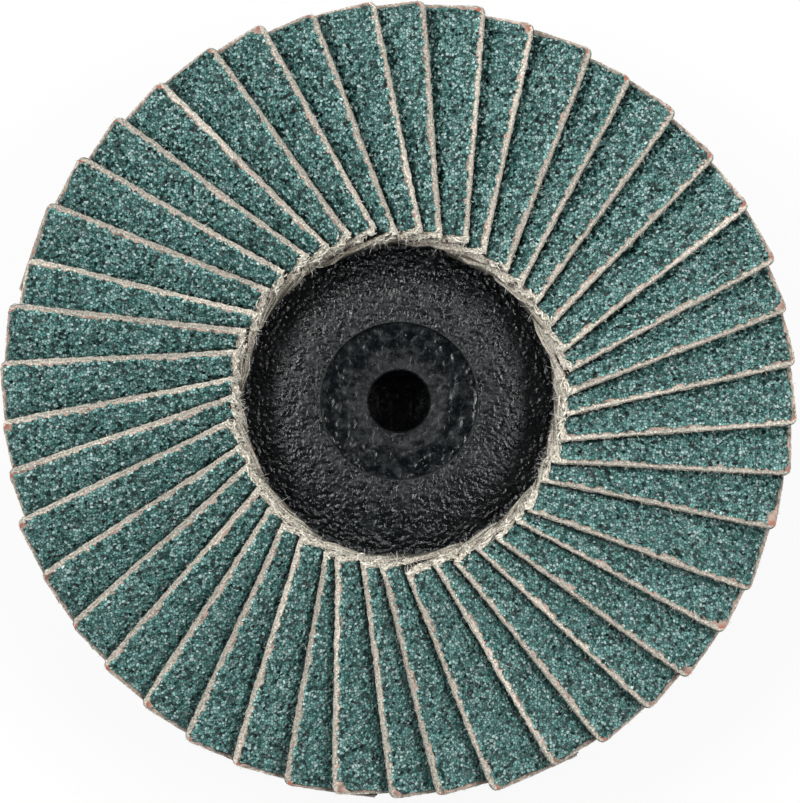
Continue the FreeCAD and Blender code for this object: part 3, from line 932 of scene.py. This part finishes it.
class FLAPDISC_OT_plate(bpy.types.Operator):
    """Builds the moulded backing plate with its grained hub"""

    bl_idname = "flap_disc.plate"
    bl_label = "Backing plate"

    def execute(self, context):
        settings = context.scene.flap_disc_plate
        shell, shell_faces, ring, corners = plate_shell()
        hub, hub_faces, polish = turned_hub(hub_profile(corners), settings, np.random.default_rng(77))
        points, faces = join_parts(((shell, shell_faces), (hub, hub_faces)))
        start = len(shell)
        outer_marks = [bearing(shell[index]) for index in ring]
        outer_marks.append(outer_marks[0] + FULL_TURN)
        inner = [*range(start, start + HUB_TURNS), start]
        inner_marks = np.linspace(0, FULL_TURN, HUB_TURNS + 1)
        faces.extend(flipped(zip_chains(ring + ring[:1], inner, outer_marks, inner_marks)))
        used = np.zeros(len(points), bool)
        used[[index for face in faces for index in face]] = True
        renumber = np.cumsum(used) - 1
        faces = [tuple(int(renumber[index]) for index in face) for face in faces]
        polish = np.concatenate((np.full(start, SHELL_POLISH), polish))[used]
        finish = moulded_plastic(settings)
        piece = new_piece("moulded_plate", points[used], faces, (finish,), PLATE)
        mesh = piece.data
        vertex_numbers(mesh, "polish", polish)
        vertex_numbers(mesh, "frost", np.interp(polish, (0, 0.3, LIP_POLISH, 1), (0, 1, 4, 0)))
        mesh.polygons.foreach_set("use_smooth", np.ones(len(mesh.polygons), bool))
        mesh.set_sharp_from_angle(angle=math.radians(35))
        mesh.update()
        return {"FINISHED"}


class FLAPDISC_OT_bed(bpy.types.Operator):
    """Finishes the resin bed that holds the flaps"""

    bl_idname = "flap_disc.bed"
    bl_label = "Resin bed"

    def execute(self, context):
        finish = cast_resin(context.scene.flap_disc_plate)
        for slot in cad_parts[BED].material_slots:
            slot.material = finish
        return {"FINISHED"}


# ---- stage ----

WHITE = "#ffffff"
FLOOR_HALF = 3.0  # half the floor's width, m
FLOOR_GLOW = 0.9  # share of plain white where the floor is seen
SENSOR_WIDTH = 36.0  # mm
CAMERA_AIM = (0.085, -0.18, 17.5)  # the point in the middle of the picture, mm
LAMP_AIM = (0, 0, 0.015)  # the point that the lamps face, m

# Name, place and size in metres, and share of the lamp power of each soft lamp.
LAMPS = (
    ("left_softbox", (-0.34, 0.1, 0.46), (0.15, 0.42), 0.92),
    ("right_softbox", (0.34, 0.04, 0.46), (0.15, 0.42), 0.8),
    ("top_softbox", (-0.06, 0.36, 0.44), (0.4, 0.15), 0.34),
)


def seen_directly(add):
    """1 for rays that show the surroundings: from the camera, in a reflection or through glass."""
    rays = add("LightPath")
    seen = add("Math", {0: rays["Is Camera Ray"], 1: rays["Is Glossy Ray"]}, operation="MAXIMUM")[0]
    return add("Math", {0: seen, 1: rays["Is Transmission Ray"]}, operation="MAXIMUM")[0]


def studio_floor(settings):
    """Matt white card: it looks nearly white to the camera and keeps the disc's shadow."""
    material, add, shader, place = new_material("matt_white_card")
    flecks = add("TexNoise", {"Vector": place, "Scale": 1 / (0.8 * MM), "Detail": 4.0})["Fac"]
    card = add("ValToRGB", {"Fac": flecks}, stops=shades(
        settings.floor_colour, (0.3, 0.97), (0.7, 1.0),
    ))["Color"]
    feed(shader, {"Base Color": card, "Roughness": 0.9})
    white = add("Emission", {"Color": opaque(WHITE), "Strength": 1.0})[0]
    share = add("Math", {0: seen_directly(add), 1: FLOOR_GLOW}, operation="MULTIPLY")[0]
    mixed = add("MixShader", {0: share, 1: shader.outputs[0], 2: white})[0]
    feed(material.node_tree.nodes["Material Output"], {"Surface": mixed})
    return material


def studio_world(settings):
    """Even light from all round. Where it is seen it is a white room with a dark ceiling."""
    world = bpy.data.worlds.new("studio")
    world.use_nodes = True
    add = partial(add_node, world.node_tree)
    height = add("SeparateXYZ", {"Vector": add("TexCoord")["Generated"]})["Z"]
    room = add("MapRange", {
        "Value": height, "From Min": 0.3, "From Max": 0.65, "To Min": 1.0, "To Max": settings.ceiling,
    })[0]
    strength = add("Mix", {0: seen_directly(add), NUMBER_A: settings.sky_light, NUMBER_B: room})[0]
    feed(world.node_tree.nodes["Background"], {"Color": opaque(WHITE), "Strength": strength})
    return world


def softbox(name, place, size, power):
    """A soft rectangular lamp that points at the disc."""
    lamp = bpy.data.lights.new(name, "AREA")
    lamp.shape = "RECTANGLE"
    lamp.size, lamp.size_y = size
    lamp.energy = power
    holder = new_object(name, lamp)
    holder.location = place
    back = (Vector(place) - Vector(LAMP_AIM)).normalized()
    side = Vector((0, 1, 0)).cross(back).normalized()
    holder.rotation_euler = Matrix((side, back.cross(side), back)).transposed().to_euler()


class FLAPDISC_OT_stage(bpy.types.Operator):
    """Sets the floor, the lamps, the surroundings and the camera"""

    bl_idname = "flap_disc.stage"
    bl_label = "Studio"

    def execute(self, context):
        scene = context.scene
        settings = scene.flap_disc_stage
        card = bpy.data.meshes.new("floor")
        ways = ((-1, -1), (1, -1), (1, 1), (-1, 1))
        card.from_pydata([(x * FLOOR_HALF, y * FLOOR_HALF, 0) for x, y in ways], [], [(0, 1, 2, 3)])
        card.materials.append(studio_floor(settings))
        floor = new_object("floor", card)
        scene.world = studio_world(settings)
        for name, place, size, share in LAMPS:
            softbox(name, place, size, settings.lamp_power * share)

        lens = bpy.data.cameras.new("camera")
        lens.sensor_fit = "HORIZONTAL"
        lens.sensor_width = SENSOR_WIDTH
        lens.lens = SENSOR_WIDTH * settings.camera_distance / settings.view_width
        lens.clip_start = 0.01
        lens.clip_end = 20.0
        back = Vector((0, -math.sin(settings.camera_lean), math.cos(settings.camera_lean)))
        camera = new_object("camera", lens)
        camera.location = Vector(CAMERA_AIM) * MM + back * settings.camera_distance
        camera.rotation_euler = (-back).to_track_quat("-Z", "Y").to_euler()
        scene.camera = camera
        scene.view_settings.view_transform = "Standard"
        return {"FINISHED"}


# ---- panel ----

SETTINGS = (
    ("flap_disc_flaps", FlapDiscFlapSettings),
    ("flap_disc_plate", FlapDiscPlateSettings),
    ("flap_disc_stage", FlapDiscStageSettings),
)
STEPS = (FLAPDISC_OT_flaps, FLAPDISC_OT_plate, FLAPDISC_OT_bed, FLAPDISC_OT_stage)


class FLAPDISC_PT_panel(bpy.types.Panel):
    """Lists the disc's pieces and their settings"""

    bl_label = "Flap disc"
    bl_idname = "FLAPDISC_PT_panel"
    bl_space_type = "VIEW_3D"
    bl_region_type = "UI"
    bl_category = "Flap disc"

    def draw(self, context):
        for step in STEPS:
            self.layout.operator(step.bl_idname)
        for name, group in SETTINGS:
            box = self.layout.box()
            for setting in group.__annotations__:
                box.prop(getattr(context.scene, name), setting)


CLASSES = (*(group for _, group in SETTINGS), *STEPS, FLAPDISC_PT_panel)


def register():
    """Adds the settings, the operators and the panel."""
    for kind in CLASSES:
        bpy.utils.register_class(kind)
    for name, group in SETTINGS:
        setattr(bpy.types.Scene, name, PointerProperty(type=group))


def unregister():
    """Takes them away again."""
    for name, _ in SETTINGS:
        delattr(bpy.types.Scene, name)
    for kind in reversed(CLASSES):
        bpy.utils.unregister_class(kind)


def main():
    """Builds the whole scene."""
    register()
    bpy.ops.flap_disc.flaps()
    bpy.ops.flap_disc.plate()
    bpy.ops.flap_disc.bed()
    bpy.ops.flap_disc.stage()


if __name__ == "__main__":
    main()
